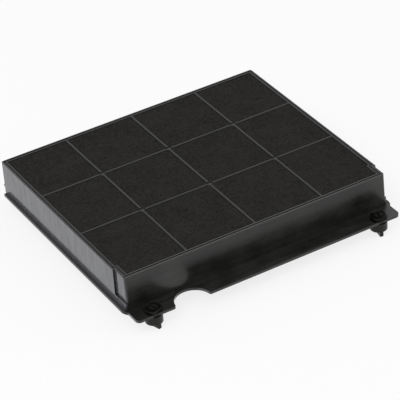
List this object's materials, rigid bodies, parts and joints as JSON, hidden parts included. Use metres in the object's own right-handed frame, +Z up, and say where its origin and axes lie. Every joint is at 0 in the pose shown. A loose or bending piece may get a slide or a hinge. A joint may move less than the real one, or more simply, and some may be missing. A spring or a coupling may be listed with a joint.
{
  "type": "cooker hood carbon filter",
  "caption": "Flat carbon filter cassette for a cooker hood, with a ribbed cover, fleece faces, rear tongues and quarter-turn lock knobs.",
  "frame": {"origin": "centre of the part's box, at the level of the knobs' lowest ends", "axes": "+Z up out of the ribbed cover, +X along the wide side to the right, -Y towards the flange with the lock knobs"},
  "size_m": [0.225, 0.2108, 0.0396],
  "materials": {
    "casing_plastic": "semi-gloss moulded black",
    "cover_plastic": "satin moulded black",
    "fleece": "matt needled fleece",
    "carbon": "loose black granules",
    "knob_plastic": "semi-gloss moulded black",
    "cam_plastic": "satin moulded black"
  },
  "bodies": {
    "filter": {"casing": "casing_plastic", "cover_grid": "cover_plastic", "top_fleece": "fleece", "floor_fleece": "fleece", "carbon_bed_1_1": "carbon", "carbon_bed_1_2": "carbon", "carbon_bed_1_3": "carbon", "carbon_bed_1_4": "carbon", "carbon_bed_2_1": "carbon", "carbon_bed_2_2": "carbon", "carbon_bed_2_3": "carbon", "carbon_bed_2_4": "carbon", "carbon_bed_3_1": "carbon", "carbon_bed_3_2": "carbon", "carbon_bed_3_3": "carbon", "carbon_bed_3_4": "carbon"},
    "left_lock": {"left_knob": "knob_plastic", "left_lock_cam": "cam_plastic"},
    "right_lock": {"right_knob": "knob_plastic", "right_lock_cam": "cam_plastic"}
  },
  "joints": [
    {"name": "left_knob_turn", "type": "hinge", "parent": "filter", "child": "left_lock", "pos_m": [-0.0944, -0.0989, 0.0114], "axis": [0, 0, 1], "range_deg": [-16, 74]},
    {"name": "right_knob_turn", "type": "hinge", "parent": "filter", "child": "right_lock", "pos_m": [0.0944, -0.0989, 0.0114], "axis": [0, 0, 1], "range_deg": [-80, 10]}
  ]
}
